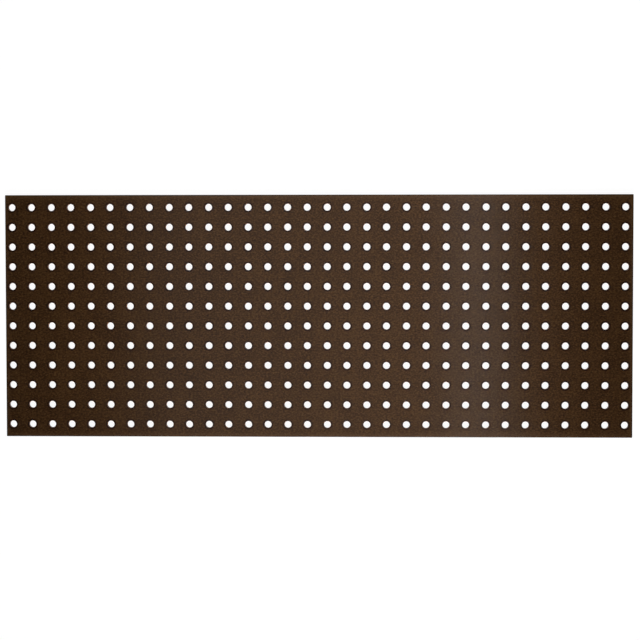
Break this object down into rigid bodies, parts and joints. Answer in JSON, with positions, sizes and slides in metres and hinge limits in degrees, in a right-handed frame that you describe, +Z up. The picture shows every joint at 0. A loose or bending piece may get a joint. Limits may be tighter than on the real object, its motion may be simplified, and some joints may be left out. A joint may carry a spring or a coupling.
{
  "type": "prototype board",
  "caption": "Bare brown paper-phenolic prototype board, punched all over with a square grid of plain round holes for press-in terminals.",
  "frame": {"origin": "centre of the underside, on the surface that the board lies on", "axes": "+X along the length, +Y across the width towards the edge that is at the top of the picture, +Z up, out of the face that the punches entered"},
  "size_m": [0.2136, 0.0826, 0.0016],
  "materials": {
    "board_laminate": "matte"
  },
  "bodies": {
    "root": {"board": "board_laminate"}
  },
  "joints": []
}
